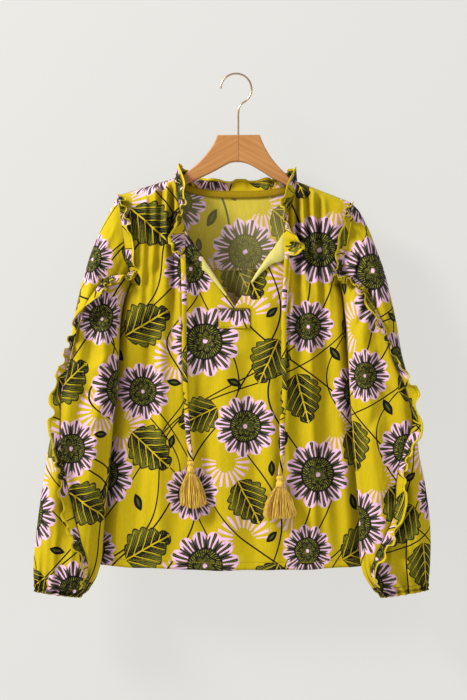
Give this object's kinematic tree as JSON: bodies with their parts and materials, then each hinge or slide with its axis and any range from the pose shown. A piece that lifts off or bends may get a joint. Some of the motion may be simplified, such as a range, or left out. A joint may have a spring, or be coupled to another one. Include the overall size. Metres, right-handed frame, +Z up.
{
  "type": "blouse on a hanger",
  "caption": "Loose long-sleeved blouse with a frilled split neck, ruffled sleeves and tasselled ties, hanging on a flat wooden hanger.",
  "frame": {"origin": "inside the top of the hanger's hook, where a rail carries it", "axes": "+Z up, the front of the blouse faces -Y, +X to the right as seen from the front"},
  "size_m": [0.6393, 0.1002, 0.8461],
  "materials": {
    "printed_cotton": "matt woven cotton, mustard yellow with a black, olive and pink botanical print",
    "plain_cotton": "matt woven cotton, plain mustard yellow",
    "cotton_wrong_side": "paler wrong side of the printed cotton",
    "thread": "golden yellow cotton thread",
    "wood": "satin honey-brown beech",
    "wire": "satin champagne gold"
  },
  "bodies": {
    "root": {"hanger_wood": "wood", "hanger_hook": "wire", "front": "printed_cotton", "front_placket": "printed_cotton", "back_yoke": "printed_cotton", "back": "printed_cotton", "neck_band": "plain_cotton", "collar_frill": "printed_cotton", "turnback_left": "printed_cotton", "turnback_right": "cotton_wrong_side", "sleeve_left_outer": "printed_cotton", "sleeve_left_inner": "printed_cotton", "sleeve_right_outer": "printed_cotton", "sleeve_right_inner": "printed_cotton", "ruffle_left": "printed_cotton", "ruffle_right": "printed_cotton", "cuff_left": "printed_cotton", "cuff_right": "printed_cotton", "tie_left": "printed_cotton", "tie_right": "printed_cotton", "tassel_left": "thread", "tassel_right": "thread"}
  },
  "joints": []
}
